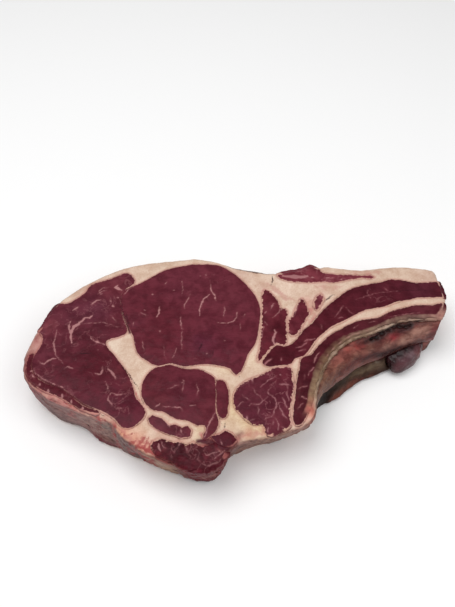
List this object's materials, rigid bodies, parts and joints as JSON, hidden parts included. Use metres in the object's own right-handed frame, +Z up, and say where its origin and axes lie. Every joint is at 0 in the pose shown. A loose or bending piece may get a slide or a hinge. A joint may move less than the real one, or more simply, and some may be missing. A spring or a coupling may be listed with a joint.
{
  "type": "bone-in ribeye steak",
  "caption": "Raw bone-in ribeye steak lying flat: a thick slab of muscles set in creamy fat, with the rib along its lower right side.",
  "frame": {"origin": "middle of the bounding box's underside, on the lower cut face that the steak rests on", "axes": "+X along the steak towards the rib's end, +Y towards the fat cap on the animal's back, +Z up through the thickness"},
  "size_m": [0.3178, 0.1815, 0.0432],
  "materials": {
    "fat": "satin, creamy beef fat and fascia",
    "muscle": "moist raw muscle, purplish red",
    "dark_muscle": "moist raw muscle, dark red",
    "membrane": "moist grey-brown membrane over muscle",
    "stub": "glossy purple-grey muscle end",
    "bone": "pink-brown rib bone under its skin"
  },
  "bodies": {
    "root": {"fat": "fat", "eye_muscle": "muscle", "cap_muscle": "muscle", "rim_muscle": "muscle", "complexus": "muscle", "complexus_slip": "muscle", "multifidus": "muscle", "chine_muscle": "muscle", "chine_tip": "muscle", "costal_muscle": "muscle", "blade_muscle_long": "muscle", "blade_muscle_middle": "muscle", "blade_muscle_short": "muscle", "serratus": "muscle", "back_strip": "muscle", "intercostal_upper": "dark_muscle", "intercostal_lower": "membrane", "muscle_stub": "stub", "rib_bone": "bone"}
  },
  "joints": []
}
